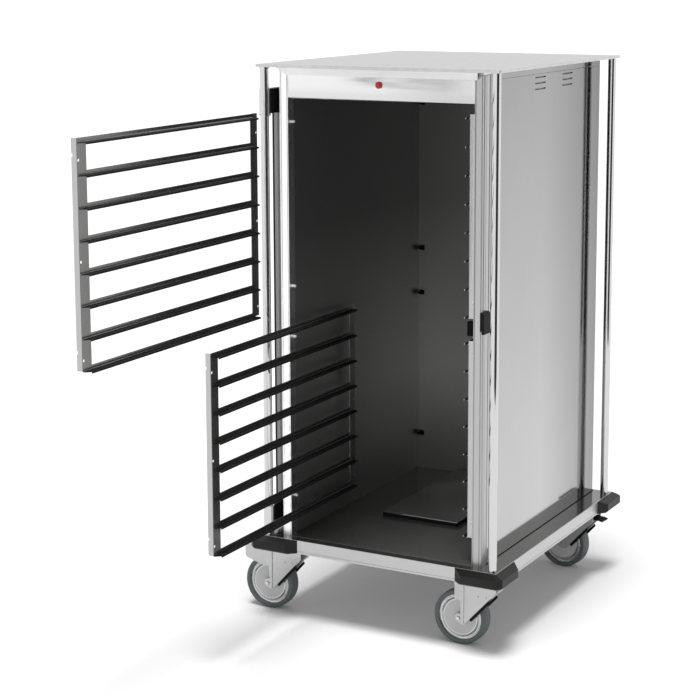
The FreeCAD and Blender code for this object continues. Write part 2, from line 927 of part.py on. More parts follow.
def makeCastors():
    corners = (
        ("front_left", -1, -1, frontCastorTurn, frontPedalPivot, frontPedalReach, True),
        ("front_right", 1, -1, frontCastorTurn, None, 0, False),
        ("rear_left", -1, 1, frontCastorTurn, None, 0, False),
        ("rear_right", 1, 1, rearCastorTurn, rearPedalPivot, rearPedalReach, False),
    )
    rim, tyre = castorWheel()
    for name, sideways, lengthways, turn, pivot, reach, cheek in corners:
        x = sideways * swivelX
        y = lengthways * swivelY
        add("castor_plates", castorPlate(x, y))
        add("castor_bolts", *castorBolts(x, y))
        for shape in [castorFork(cheek)] + axleNuts():
            add("castor_fork_" + name, placeCastor(shape, x, y, turn))
        add("castor_rim_" + name, placeCastor(rim, x, y, turn))
        add("castor_tyre_" + name, placeCastor(tyre, x, y, turn))
        if pivot is not None:
            add("brake_pedal_" + name, placeCastor(castorPedal(pivot, reach), x, y, turn))


makeBase()
makeBumpers()
makeTubes()
makeCabinet()
makeLinings()
makeHeader()
makeFascia()
makeTop()
makeFloorCover()
makeWallFittings()
makeDoor()
makeHinges()
makeGasket()
makeLatch()
makeKeeper()
makeRacks()
makeCastors()

whole = Part.makeCompound([s for group in pieces.values() for s in group])
bounds = whole.BoundBox
shift = Vector(-(bounds.XMin + bounds.XMax) / 2, -(bounds.YMin + bounds.YMax) / 2, -bounds.ZMin)
print("shift", round(shift.x, 3), round(shift.y, 3), round(shift.z, 3))
print("size", round(bounds.XLength, 1), round(bounds.YLength, 1), round(bounds.ZLength, 1))

os.makedirs("parts", exist_ok=True)
for name, group in pieces.items():
    solids = []
    for shape in group:
        moved = shape.copy()
        moved.translate(shift)
        solids.extend(moved.Solids)
    for solid in solids:
        if not solid.isValid() or solid.Volume <= 0:
            print("check", name, solid.isValid(), round(solid.Volume, 1))
    result = solids[0] if len(solids) == 1 else Part.makeCompound(solids)
    result.exportStep("parts/" + name + ".step")
print("nodes", len(pieces))
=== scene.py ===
import bpy
import bmesh
import json
import math
from mathutils import Matrix, Vector


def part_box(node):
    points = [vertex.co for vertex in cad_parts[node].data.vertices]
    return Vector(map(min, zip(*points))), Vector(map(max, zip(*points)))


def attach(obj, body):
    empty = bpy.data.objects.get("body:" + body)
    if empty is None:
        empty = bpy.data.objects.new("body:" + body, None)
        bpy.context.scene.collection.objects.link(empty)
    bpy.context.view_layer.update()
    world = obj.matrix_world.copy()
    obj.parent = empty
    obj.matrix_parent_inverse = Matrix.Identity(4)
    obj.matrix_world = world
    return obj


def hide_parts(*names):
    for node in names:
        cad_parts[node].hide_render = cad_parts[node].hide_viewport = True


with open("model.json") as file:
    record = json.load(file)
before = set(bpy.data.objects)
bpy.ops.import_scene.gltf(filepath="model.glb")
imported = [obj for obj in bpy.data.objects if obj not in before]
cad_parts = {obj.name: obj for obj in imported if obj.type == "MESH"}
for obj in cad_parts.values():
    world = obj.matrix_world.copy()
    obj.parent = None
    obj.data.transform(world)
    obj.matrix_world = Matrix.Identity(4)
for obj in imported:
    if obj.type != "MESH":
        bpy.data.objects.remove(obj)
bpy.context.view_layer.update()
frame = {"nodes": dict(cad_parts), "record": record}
cadNodes = frame["nodes"]
lidLow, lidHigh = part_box("top_panel")
centreX = (lidLow[0] + lidHigh[0]) / 2
centreY = (lidLow[1] + lidHigh[1]) / 2
joints = {joint["name"]: joint for joint in frame["record"]["behaviour"]["joints"]}
castorPlaces = ("front_left", "front_right", "rear_left", "rear_right")
rackPlaces = ("upper_left", "lower_left", "upper_right", "lower_right")
print("cart frame loaded, lid centre at", round(centreX, 4), round(centreY, 4))

# what all surfaces share: stretch of the grain for each brush direction, scale and detail of the noises,
# shares of grain and cloud in the tone, limits of the roughness, depth of the relief
surfaceLook = dict(
    stretch={"X": (9, 420, 420), "Y": (420, 9, 420), "Z": (420, 420, 9), "none": (60, 60, 60)},
    grainScale=1.0, grainDetail=3, cloudDetail=3, grainShare=0.45, cloudShare=0.55, toneFrom=0.35,
    toneTo=0.65, sheetRough=(0.96, 1.05), mouldedDetail=4, mouldedGrit=0.6, mouldedRough=(0.9, 1.12),
    mouldedCloud=18.0, grainDeep=0.0004, waveScale=5.0, waveDetail=1, waveDeep=0.004, edgeSamples=4,
)


def newFinish(name):
    finish = bpy.data.materials.new(name)
    finish.use_nodes = True
    tree = finish.node_tree
    tree.nodes.clear()
    output = tree.nodes.new("ShaderNodeOutputMaterial")
    shader = tree.nodes.new("ShaderNodeBsdfPrincipled")
    tree.links.new(shader.outputs["BSDF"], output.inputs["Surface"])
    return finish, tree, shader


def objectCoords(tree, scale=(1, 1, 1)):
    coords = tree.nodes.new("ShaderNodeTexCoord")
    mapping = tree.nodes.new("ShaderNodeMapping")
    mapping.inputs["Scale"].default_value = scale
    tree.links.new(coords.outputs["Object"], mapping.inputs["Vector"])
    return mapping.outputs["Vector"]


def noiseNode(tree, vector, scale, detail, roughness=0.5):
    noise = tree.nodes.new("ShaderNodeTexNoise")
    noise.inputs["Scale"].default_value = scale
    noise.inputs["Detail"].default_value = detail
    noise.inputs["Roughness"].default_value = roughness
    tree.links.new(vector, noise.inputs["Vector"])
    return noise.outputs["Fac"]


def mapRange(tree, value, low, high, fromLow=0.3, fromHigh=0.7):
    # the defaults are the span that a noise really fills
    node = tree.nodes.new("ShaderNodeMapRange")
    node.inputs["From Min"].default_value = fromLow
    node.inputs["From Max"].default_value = fromHigh
    node.inputs["To Min"].default_value = low
    node.inputs["To Max"].default_value = high
    tree.links.new(value, node.inputs["Value"])
    return node.outputs["Result"]


def twoTone(tree, factor, tone, spread):
    mix = tree.nodes.new("ShaderNodeMix")
    mix.data_type = "RGBA"
    mix.inputs["A"].default_value = (*(c * (1 - spread) for c in tone), 1)
    mix.inputs["B"].default_value = (*(min(1, c * (1 + spread)) for c in tone), 1)
    tree.links.new(factor, mix.inputs["Factor"])
    return mix.outputs["Result"]


def bumpNode(tree, height, strength, distance, normal=None):
    bump = tree.nodes.new("ShaderNodeBump")
    bump.inputs["Strength"].default_value = strength
    bump.inputs["Distance"].default_value = distance
    tree.links.new(height, bump.inputs["Height"])
    if normal is not None:
        tree.links.new(normal, bump.inputs["Normal"])
    return bump.outputs["Normal"]


def grainNormal(tree, grain, look):
    # rounded edges where the look asks for them, with the grain on top
    normal = None
    if look["edge"]:
        bevel = tree.nodes.new("ShaderNodeBevel")
        bevel.samples = surfaceLook["edgeSamples"]
        bevel.inputs["Radius"].default_value = look["edge"]
        normal = bevel.outputs["Normal"]
    return bumpNode(tree, grain, look["grainBump"], surfaceLook["grainDeep"], normal)


def shaderMath(tree, operation, first, second):
    node = tree.nodes.new("ShaderNodeMath")
    node.operation = operation
    tree.links.new(first, node.inputs[0])
    node.inputs[1].default_value = second
    return node


def paintShadingAlongAxis(tree, colour, axis, start, end, share):
    # painted shade and painted reflection: tone that changes slowly along one axis of the cart, to a share of
    # itself
    split = tree.nodes.new("ShaderNodeSeparateXYZ")
    tree.links.new(objectCoords(tree), split.inputs["Vector"])
    level = mapRange(tree, split.outputs[axis], 0, 1, start, end)
    shade = tree.nodes.new("ShaderNodeMix")
    shade.data_type = "RGBA"
    shade.blend_type = "MULTIPLY"
    tree.links.new(level, shade.inputs["Factor"])
    tree.links.new(colour, shade.inputs["A"])
    shade.inputs["B"].default_value = (share, share, share, 1)
    return shade.outputs["Result"]


def sheetFinish(name, look):
    # brushed or polished sheet: fine grain along one axis, slow waves in the reflections
    finish, tree, shader = newFinish(name)
    shader.inputs["Metallic"].default_value = look["metallic"]
    stretched = objectCoords(tree, surfaceLook["stretch"][look["brush"]])
    grain = noiseNode(tree, stretched, surfaceLook["grainScale"], surfaceLook["grainDetail"])
    cloud = noiseNode(tree, objectCoords(tree), look["cloudScale"], surfaceLook["cloudDetail"])
    cloudPart = shaderMath(tree, "MULTIPLY", cloud, surfaceLook["cloudShare"])
    blend = shaderMath(tree, "MULTIPLY_ADD", grain, surfaceLook["grainShare"])
    tree.links.new(cloudPart.outputs[0], blend.inputs[2])
    factor = mapRange(tree, blend.outputs[0], 0, 1, surfaceLook["toneFrom"], surfaceLook["toneTo"])
    colour = twoTone(tree, factor, look["tone"], look["spread"])
    # painted shade and painted reflection laid over the tone
    for fade in look["paintedShading"]:
        colour = paintShadingAlongAxis(tree, colour, *fade)
    tree.links.new(colour, shader.inputs["Base Color"])
    low, high = (look["roughness"] * share for share in surfaceLook["sheetRough"])
    tree.links.new(mapRange(tree, grain, low, high), shader.inputs["Roughness"])
    normal = grainNormal(tree, grain, look)
    if look["waveBump"]:
        wave = noiseNode(tree, objectCoords(tree), surfaceLook["waveScale"], surfaceLook["waveDetail"])
        normal = bumpNode(tree, wave, look["waveBump"], surfaceLook["waveDeep"], normal)
    tree.links.new(normal, shader.inputs["Normal"])
    return finish


def mouldedFinish(name, look):
    # plastic or rubber: soft mottling and a fine moulded grain
    finish, tree, shader = newFinish(name)
    shader.inputs["Metallic"].default_value = 0.0
    shader.inputs["Specular IOR Level"].default_value = look["specular"]
    vector = objectCoords(tree)
    detail, grit = surfaceLook["mouldedDetail"], surfaceLook["mouldedGrit"]
    grain = noiseNode(tree, vector, look["grainScale"], detail, grit)
    cloud = noiseNode(tree, vector, surfaceLook["mouldedCloud"], surfaceLook["cloudDetail"])
    colour = twoTone(tree, mapRange(tree, cloud, 0, 1), look["tone"], look["spread"])
    tree.links.new(colour, shader.inputs["Base Color"])
    low, high = (look["roughness"] * share for share in surfaceLook["mouldedRough"])
    tree.links.new(mapRange(tree, grain, low, min(1, high)), shader.inputs["Roughness"])
    tree.links.new(grainNormal(tree, grain, look), shader.inputs["Normal"])
    return finish


def grey(level):
    return (level, level, level)


# painted shade and painted reflection, slowly along the cart: axis, where the tone starts to change, where it
# ends, share of the tone that is left there
sheetDefaults = dict(metallic=1.0, waveBump=0.0, edge=0.0, paintedShading=())
mouldedDefaults = dict(edge=0.0)
sheetLooks = {
    "sidePanelSteel": dict(
        tone=grey(0.47), spread=0.03, roughness=0.08, brush="Z", cloudScale=2.5, grainBump=0.003,
        # painted reflection: darker towards the top and towards the rear
        waveBump=0.006, edge=0.0012, paintedShading=((2, 0.45, 1.6, 0.62), (1, centreY, centreY + 0.42, 0.48)),
    ),
    "lidSteel": dict(
        tone=(0.60, 0.59, 0.60), spread=0.06, roughness=0.42, brush="none", cloudScale=40.0,
        grainBump=0.06, edge=0.0012,
    ),
    "headerSteel": dict(
        tone=grey(0.76), spread=0.03, roughness=0.16, brush="X", cloudScale=3.0, grainBump=0.02,
        # painted reflection: darker towards the right
        waveBump=0.02, edge=0.0008, paintedShading=((0, centreX + 0.02, centreX + 0.2, 0.86),),
    ),
    "postAluminium": dict(
        tone=grey(0.97), spread=0.012, roughness=0.3, brush="Z", cloudScale=3.0, grainBump=0.004,
        # painted shade: darker towards the right post
        edge=0.0008, paintedShading=((0, centreX - 0.28, centreX + 0.29, 0.46),),
    ),
    "doorSteel": dict(
        tone=grey(0.20), spread=0.04, roughness=0.18, brush="Z", cloudScale=2.5, grainBump=0.03,
        waveBump=0.015, edge=0.0012,
    ),
    "rearSteel": dict(
        tone=grey(0.50), spread=0.04, roughness=0.22, brush="Z", cloudScale=2.5, grainBump=0.03,
        waveBump=0.02, edge=0.0012,
    ),
    "baseAluminium": dict(
        tone=grey(0.52), spread=0.03, roughness=0.34, brush="Y", cloudScale=4.0, grainBump=0.03,
        edge=0.0012,
    ),
    "tubeChrome": dict(
        tone=grey(0.60), spread=0.01, roughness=0.05, brush="Z", cloudScale=3.0, grainBump=0.0005,
    ),
    "deckSteel": dict(
        tone=(0.135, 0.135, 0.132), spread=0.05, metallic=0.85, roughness=0.12, brush="Y", cloudScale=3.0,
        grainBump=0.012, waveBump=0.01,
    ),
    "floorSteel": dict(
        tone=(0.27, 0.27, 0.265), spread=0.02, metallic=0.8, roughness=0.2, brush="Y", cloudScale=3.0,
        # painted shade: darker towards the left of the inside
        grainBump=0.002, waveBump=0.004, paintedShading=((0, centreX + 0.1, centreX - 0.22, 0.4),),
    ),
    "liningSteel": dict(
        tone=(0.35, 0.35, 0.345), spread=0.02, metallic=0.75, roughness=0.3, brush="Z", cloudScale=3.0,
        # painted shade: darker towards the top of the inside
        grainBump=0.002, waveBump=0.004, paintedShading=((2, 0.6, 1.15, 0.5),),
    ),
    # painted light: one rack steel, as a lit copy for the faces towards the front and a shaded copy for the
    # webs of the uprights and the rails
    "rackSteelLit": dict(
        tone=(0.46, 0.46, 0.455), spread=0.03, roughness=0.2, brush="Z", cloudScale=6.0, grainBump=0.015,
        edge=0.0005,
    ),
    "rackSteelShaded": dict(
        tone=(0.19, 0.19, 0.187), spread=0.04, metallic=0.75, roughness=0.2, brush="Z", cloudScale=6.0,
        grainBump=0.015,
    ),
    # painted shade: the rails' webs in the same shaded tone as the uprights' webs
    "railSteelShaded": dict(
        tone=(0.19, 0.19, 0.187), spread=0.04, metallic=0.75, roughness=0.18, brush="Y", cloudScale=6.0,
        grainBump=0.015,
    ),
    "zincPlate": dict(
        tone=(0.48, 0.485, 0.48), spread=0.012, metallic=0.9, roughness=0.26, brush="none",
        cloudScale=14.0, grainBump=0.001,
    ),
    "rimChrome": dict(
        tone=grey(0.64), spread=0.02, roughness=0.05, brush="none", cloudScale=8.0, grainBump=0.004,
    ),
    "coverSteel": dict(
        tone=(0.34, 0.34, 0.335), spread=0.02, metallic=0.8, roughness=0.2, brush="Y", cloudScale=6.0,
        grainBump=0.002,
    ),
    "recessShade": dict(
        tone=grey(0.05), spread=0.1, metallic=0.6, roughness=0.5, brush="none", cloudScale=10.0,
        grainBump=0.02,
    ),
    # painted reflection: dark band in the inner turned ring of the wheels
    "rimShade": dict(
        tone=grey(0.26), spread=0.02, roughness=0.12, brush="none", cloudScale=8.0, grainBump=0.002,
    ),
    "louvreSteel": dict(
        tone=grey(0.34), spread=0.05, roughness=0.3, brush="Y", cloudScale=10.0, grainBump=0.02,
    ),
}
mouldedLooks = {
    "fasciaWhite": dict(
        tone=grey(0.97), spread=0.01, specular=0.9, roughness=0.35, grainScale=320.0, grainBump=0.02,
        edge=0.0008,
    ),
    "blackPlastic": dict(
        tone=grey(0.012), spread=0.2, specular=0.04, roughness=0.38, grainScale=600.0, grainBump=0.1,
        edge=0.001,
    ),
    "bumperRubber": dict(
        tone=(0.011, 0.011, 0.0105), spread=0.2, specular=0.24, roughness=0.45, grainScale=700.0,
        grainBump=0.12, edge=0.0012,
    ),
    # painted shade: near black on the rails' faces towards the trays and on the sides of the floor cover;
    # also the real dark joint under the side panels
    "paintedShadeAndJointBlack": dict(
        tone=grey(0.014), spread=0.1, specular=0.05, roughness=0.5, grainScale=300.0, grainBump=0.05,
    ),
    "gasketRubber": dict(
        tone=grey(0.06), spread=0.2, specular=0.4, roughness=0.6, grainScale=500.0, grainBump=0.1,
    ),
    "discPlastic": dict(
        tone=(0.56, 0.565, 0.56), spread=0.05, specular=0.5, roughness=0.3, grainScale=240.0,
        grainBump=0.03,
    ),
    "tyreRubber": dict(
        tone=(0.095, 0.112, 0.117), spread=0.12, specular=0.4, roughness=0.5, grainScale=500.0,
        grainBump=0.12,
    ),
    "signalRed": dict(
        tone=(0.45, 0.012, 0.015), spread=0.15, specular=0.6, roughness=0.14, grainScale=200.0,
        grainBump=0.01,
    ),
    "studWhite": dict(
        tone=grey(0.8), spread=0.05, specular=0.5, roughness=0.35, grainScale=300.0, grainBump=0.05,
    ),
}
finishes = {name: sheetFinish(name, {**sheetDefaults, **look}) for name, look in sheetLooks.items()}
for name, look in mouldedLooks.items():
    finishes[name] = mouldedFinish(name, {**mouldedDefaults, **look})
print("finishes made:", len(finishes))

# each node gets its finish in its own slots, the meshes stay untouched
finishNodes = {
    "sidePanelSteel": ["side_panel_left", "side_panel_right"],
    "rearSteel": ["back_panel", "roof_box"],
    "headerSteel": ["top_spacer", "header_panel"],
    "postAluminium": ["front_posts"],
    "fasciaWhite": ["front_fascia"],
    "lidSteel": ["top_panel"],
    "baseAluminium": ["base_rails", "base_core"],
    "deckSteel": ["deck_sheet"],
    "floorSteel": ["floor_plate"],
    "coverSteel": ["floor_cover"],
    "liningSteel": ["lining_sides", "lining_back", "lining_ceiling"],
    "tubeChrome": ["corner_tubes", "tube_sockets", "hinge_tube", "hinge_collars", "hinge_sleeves"],
    "doorSteel": ["door_panel", "door_stiles", "door_rails"],
    "gasketRubber": ["door_gasket"],
    "blackPlastic": [
        "hinge_blocks", "latch_case", "latch_lever", "latch_bolt", "latch_keeper", "wall_hooks",
        "brake_pedal_front_left", "brake_pedal_rear_right",
    ],
    "bumperRubber": ["corner_bumpers"],
    "studWhite": ["wall_studs"],
    "signalRed": ["signal_lamp"],
    "zincPlate": ["castor_plates", "castor_bolts"] + ["castor_fork_" + place for place in castorPlaces],
    "discPlastic": ["castor_rim_" + place for place in castorPlaces],
    "tyreRubber": ["castor_tyre_" + place for place in castorPlaces],
    "rackSteelShaded": ["rack_" + rack + "_uprights" for rack in rackPlaces],
    "railSteelShaded": ["rack_" + rack + "_rails" for rack in rackPlaces],
}
for finishName, nodes in finishNodes.items():
    for node in nodes:
        target = cadNodes[node]
        if not target.material_slots:
            target.data.materials.append(None)
        for holder in target.material_slots:
            holder.link = "OBJECT"
            holder.material = finishes[finishName]
print("frame pieces dressed:", sum(len(nodes) for nodes in finishNodes.values()))


def newTree(name, sizes):
    # geometry tree with a named input for the spots, for each size and for the finish
    tree = bpy.data.node_groups.new(name, "GeometryNodeTree")
    tree.interface.new_socket(name="Geometry", in_out="OUTPUT", socket_type="NodeSocketGeometry")
    tree.interface.new_socket(name="Spots", in_out="INPUT", socket_type="NodeSocketGeometry")
    kinds = {int: "NodeSocketInt", float: "NodeSocketFloat"}
    for key, value in sizes.items():
        socket = tree.interface.new_socket(name=key, in_out="INPUT", socket_type=kinds[type(value)])
        socket.default_value = value
    tree.interface.new_socket(name="finish", in_out="INPUT", socket_type="NodeSocketMaterial")
    return tree, tree.nodes.new("NodeGroupInput"), tree.nodes.new("NodeGroupOutput")


def geo(tree, kind, **values):
    node = tree.nodes.new(kind)
    for key, value in values.items():
        setattr(node, key, value)
    return node


def feed(tree, socket, value):
    if isinstance(value, (int, float)):
        socket.default_value = value
    else:
        tree.links.new(value, socket)


def mathOf(tree, operation, first, second):
    node = geo(tree, "ShaderNodeMath", operation=operation)
    feed(tree, node.inputs[0], first)
    feed(tree, node.inputs[1], second)
    return node.outputs[0]


def vectorOf(tree, x, y, z):
    node = geo(tree, "ShaderNodeCombineXYZ")
    for index, value in enumerate((x, y, z)):
        feed(tree, node.inputs[index], value)
    return node.outputs[0]


def copyAlong(tree, form, count, step):
    # a row of copies of the form
    row = geo(tree, "GeometryNodeMeshLine")
    tree.links.new(count, row.inputs["Count"])
    tree.links.new(step, row.inputs["Offset"])
    copies = geo(tree, "GeometryNodeInstanceOnPoints")
    tree.links.new(row.outputs["Mesh"], copies.inputs["Points"])
    tree.links.new(form, copies.inputs["Instance"])
    return copies.outputs["Instances"]


def closeTree(tree, start, end, copies):
    # real copies in the finish that the tree is given
    realize = geo(tree, "GeometryNodeRealizeInstances")
    tree.links.new(copies, realize.inputs["Geometry"])
    paint = geo(tree, "GeometryNodeSetMaterial")
    tree.links.new(realize.outputs["Geometry"], paint.inputs["Geometry"])
    tree.links.new(start.outputs["finish"], paint.inputs["Material"])
    tree.links.new(paint.outputs["Geometry"], end.inputs[0])
    return tree


def grow(name, tree, sizes, finishName, spots=()):
    # run the tree on its spots and keep the result as a plain mesh object
    source = bpy.data.meshes.new(name + "Source")
    if spots:
        source.from_pydata([tuple(point) for point, facing in spots], [], [])
        aims = source.attributes.new("facing", "FLOAT_VECTOR", "POINT")
        for k, (point, facing) in enumerate(spots):
            aims.data[k].vector = facing
    holder = bpy.data.objects.new(name + "Source", source)
    bpy.context.scene.collection.objects.link(holder)
    modifier = holder.modifiers.new("tree", "NODES")
    modifier.node_group = tree
    values = dict(sizes, finish=finishes[finishName])
    for item in tree.interface.items_tree:
        if item.in_out == "INPUT" and item.name in values:
            modifier[item.identifier] = values[item.name]
    bpy.context.view_layer.update()
    result = holder.evaluated_get(bpy.context.evaluated_depsgraph_get())
    mesh = bpy.data.meshes.new_from_object(result)
    mesh.name = name
    # the copied mesh can start with an empty slot, so its slots are filled again
    mesh.materials.clear()
    mesh.materials.append(finishes[finishName])
    for polygon in mesh.polygons:
        polygon.material_index = 0
    holder.modifiers.remove(modifier)
    bpy.data.objects.remove(holder)
    return linkPiece(name, mesh)


def linkPiece(name, mesh):
    piece = bpy.data.objects.new(name, mesh)
    bpy.context.scene.collection.objects.link(piece)
    return piece


def cleanMesh(piece, gap):
    work = bmesh.new()
    work.from_mesh(piece.data)
    bmesh.ops.remove_doubles(work, verts=work.verts, dist=gap)
    bmesh.ops.recalc_face_normals(work, faces=work.faces)
    work.to_mesh(piece.data)
    work.free()
    piece.data.update()


def moveMesh(piece, matrix):
    piece.data.transform(matrix)
    piece.data.update()


def smoothByAngle(piece, degrees):
    piece.data.shade_smooth()
    piece.data.set_sharp_from_angle(angle=math.radians(degrees))


# runner rails: one rolled angle, bent along its length, copied up the rack
railLook = dict(
    railCount=8, webHeight=0.0105, shelfWidth=0.0195, lipDrop=0.005, sheet=0.0018, bendRadius=0.0022,
    leadCut=0.012,
)
# how the rails fit their node: height of a rail there, free end at the rear, strip at the wall that stays
# grey outside the painted shade; and how they are made: points in a bend, front zone, gaps that are closed,
# what faces the front and gets the painted highlight
railFit = dict(
    bodyHeight=0.02, rearTrim=0.022, wallStrip=0.004, bendPoints=3, frontZone=0.001, weld=0.00001,
    gap=0.00002, facing=0.5, smooth=12,
)


def railTree():
    tree, start, end = newTree("runnerRails", dict(railLook, railLength=0.8, pitch=0.0785))
    link = tree.links.new
    # a line of four points becomes the section: top of the web, bend, edge of the shelf, foot of the lip
    line = geo(tree, "GeometryNodeMeshLine")
    line.inputs["Count"].default_value = 4
    index = geo(tree, "GeometryNodeInputIndex").outputs[0]

    def indexIs(operation, number):
        test = geo(tree, "FunctionNodeCompare", data_type="INT", operation=operation)
        link(index, test.inputs["A"])
        test.inputs["B"].default_value = number
        return test.outputs[0]

    x = mathOf(tree, "MULTIPLY", indexIs("GREATER_THAN", 1), start.outputs["shelfWidth"])
    up = mathOf(tree, "MULTIPLY", indexIs("EQUAL", 0), start.outputs["webHeight"])
    down = mathOf(tree, "MULTIPLY", indexIs("EQUAL", 3), start.outputs["lipDrop"])
    bend = geo(tree, "GeometryNodeSetPosition")
    link(line.outputs["Mesh"], bend.inputs["Geometry"])
    link(vectorOf(tree, x, 0.0, mathOf(tree, "SUBTRACT", up, down)), bend.inputs["Position"])
    curve = geo(tree, "GeometryNodeMeshToCurve")
    link(bend.outputs["Geometry"], curve.inputs["Mesh"])
    fillet = geo(tree, "GeometryNodeFilletCurve", mode="POLY")
    link(curve.outputs["Curve"], fillet.inputs["Curve"])
    fillet.inputs["Count"].default_value = railFit["bendPoints"]
    fillet.inputs["Limit Radius"].default_value = True
    link(start.outputs["bendRadius"], fillet.inputs["Radius"])
    wire = geo(tree, "GeometryNodeCurveToMesh")
    link(fillet.outputs["Curve"], wire.inputs["Curve"])
    pull = geo(tree, "GeometryNodeExtrudeMesh", mode="EDGES")
    link(wire.outputs["Mesh"], pull.inputs["Mesh"])
    link(vectorOf(tree, 0.0, start.outputs["railLength"], 0.0), pull.inputs["Offset"])
    pull.inputs["Offset Scale"].default_value = 1.0
    # the outer front corner is drawn back so that a tray slides on
    parts = geo(tree, "ShaderNodeSeparateXYZ")
    link(geo(tree, "GeometryNodeInputPosition").outputs[0], parts.inputs[0])
    atFront = mathOf(tree, "LESS_THAN", parts.outputs["Y"], railFit["frontZone"])
    halfShelf = mathOf(tree, "MULTIPLY", start.outputs["shelfWidth"], 0.5)
    outside = mathOf(tree, "GREATER_THAN", parts.outputs["X"], halfShelf)
    corner = mathOf(tree, "MULTIPLY", atFront, outside)
    lead = mathOf(tree, "MULTIPLY", corner, start.outputs["leadCut"])
    cut = geo(tree, "GeometryNodeSetPosition")
    link(pull.outputs["Mesh"], cut.inputs["Geometry"])
    link(vectorOf(tree, 0.0, lead, 0.0), cut.inputs["Offset"])
    # the sheet gets its thickness, and the face it came from closes the back
    thick = geo(tree, "GeometryNodeExtrudeMesh", mode="FACES")
    link(cut.outputs["Geometry"], thick.inputs["Mesh"])
    link(start.outputs["sheet"], thick.inputs["Offset Scale"])
    thick.inputs["Individual"].default_value = False
    flip = geo(tree, "GeometryNodeFlipFaces")
    link(cut.outputs["Geometry"], flip.inputs["Mesh"])
    join = geo(tree, "GeometryNodeJoinGeometry")
    link(thick.outputs["Mesh"], join.inputs["Geometry"])
    link(flip.outputs["Mesh"], join.inputs["Geometry"])
    merge = geo(tree, "GeometryNodeMergeByDistance")
    merge.inputs["Distance"].default_value = railFit["weld"]
    link(join.outputs["Geometry"], merge.inputs["Geometry"])
    step = vectorOf(tree, 0.0, 0.0, start.outputs["pitch"])
    copies = copyAlong(tree, merge.outputs["Geometry"], start.outputs["railCount"], step)
    return closeTree(tree, start, end, copies)


def makeRails():
    tree = railTree()
    for rack in rackPlaces:
        node = "rack_" + rack + "_rails"
        low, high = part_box(node)
        mirrored = "right" in rack
        pitch = (high[2] - low[2] - railFit["bodyHeight"]) / (railLook["railCount"] - 1)
        sizes = dict(railLook, railLength=high[1] - low[1] - railFit["rearTrim"], pitch=pitch)
        rails = grow("runnerRails." + rack, tree, sizes, "railSteelShaded")
        if mirrored:
            moveMesh(rails, Matrix.Scale(-1, 4, (1, 0, 0)))
        cleanMesh(rails, railFit["gap"])
        points = [vertex.co for vertex in rails.data.vertices]
        side = high[0] - max(p.x for p in points) if mirrored else low[0] - min(p.x for p in points)
        offset = Vector((side, low[1] - min(p.y for p in points), low[2] - min(p.z for p in points)))
        moveMesh(rails, Matrix.Translation(offset))
        for finishName in ("paintedShadeAndJointBlack", "rackSteelLit"):
            rails.data.materials.append(finishes[finishName])
        # painted shade, dark, on the side towards the trays, and a painted highlight, light, at the front
        # ends of the right racks
        wall = high[0] - railFit["wallStrip"] if mirrored else low[0] + railFit["wallStrip"]
        for polygon in rails.data.polygons:
            shadedFace = polygon.center.x < wall if mirrored else polygon.center.x > wall
            highlightTip = mirrored and polygon.normal.y < -railFit["facing"]
            polygon.material_index = 2 if highlightTip else 1 if shadedFace else 0
        smoothByAngle(rails, railFit["smooth"])
        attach(rails, "rack_" + rack)
        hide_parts(node)


makeRails()
print("runner rails made")

# for all modelled pieces: angle from which an edge is bevelled, steps of the bevel, smooth up to
pieceLook = dict(bevelFrom=40, bevelSegments=2, smooth=30)


def solidFrom(work, outline, step):
    # closed prism: the outline's corners, and the same corners moved by one step
    low = [work.verts.new(Vector(p)) for p in outline]
    high = [work.verts.new(Vector(p) + Vector(step)) for p in outline]
    work.faces.new(low)
    work.faces.new(list(reversed(high)))
    for k in range(len(outline)):
        n = (k + 1) % len(outline)
        work.faces.new([low[n], low[k], high[k], high[n]])


def boxFrom(work, low, high, rise):
    near, far = low[1], high[1]
    corners = [(low[0], near), (high[0], near), (high[0], far), (low[0], far)]
    solidFrom(work, [(x, y, low[2]) for x, y in corners], (0, 0, rise))


def lathe(work, profile, steps, centre, axis, first):
    # turns a closed profile, pairs of radius and distance along the axis, round the centre
    second = axis.cross(first)
    rings = []
    for k in range(steps):
        turn = 2 * math.pi * k / steps
        out = first * math.cos(turn) + second * math.sin(turn)
        rings.append([work.verts.new(centre + out * r + axis * d) for r, d in profile])
    for k in range(steps):
        here = rings[k]
        there = rings[(k + 1) % steps]
        for m in range(len(profile)):
            n = (m + 1) % len(profile)
            work.faces.new([here[m], here[n], there[n], there[m]])


def bakeModifiers(piece):
    bpy.context.view_layer.update()
    result = piece.evaluated_get(bpy.context.evaluated_depsgraph_get())
    shaped = bpy.data.meshes.new_from_object(result)
    shaped.name = piece.name
    piece.modifiers.clear()
    piece.data = shaped


def finishPiece(name, work, finishNames, bevel=0.0):
    # mesh object from a bmesh, with small bevels and smooth shading
    bmesh.ops.recalc_face_normals(work, faces=work.faces)
    mesh = bpy.data.meshes.new(name)
    work.to_mesh(mesh)
    work.free()
    piece = linkPiece(name, mesh)
    for finishName in finishNames:
        mesh.materials.append(finishes[finishName])
    if bevel:
        modifier = piece.modifiers.new("edges", "BEVEL")
        modifier.width = bevel
        modifier.segments = pieceLook["bevelSegments"]
        modifier.limit_method = "ANGLE"
        modifier.angle_limit = math.radians(pieceLook["bevelFrom"])
        bakeModifiers(piece)
    smoothByAngle(piece, pieceLook["smooth"])
    return piece


# rack uprights: bent angle with hanging notches in its flange and round holes in its web
uprightLook = dict(
    sheet=0.002, frontWeb=0.037, rearWeb=0.036, bend=0.0018, bendSteps=4, topTrim=0.0045, holeRadius=0.004,
    holeBack=0.0066, holeDrops=(0.0575, 0.3005, 0.5395), holeSides=16, holeThrough=0.008, notchDeep=0.0035,
    notchHalf=0.0041, notchDrop=0.0452, notchOut=0.001, notchAhead=0.005, notchThrough=0.01, facing=0.6,
)


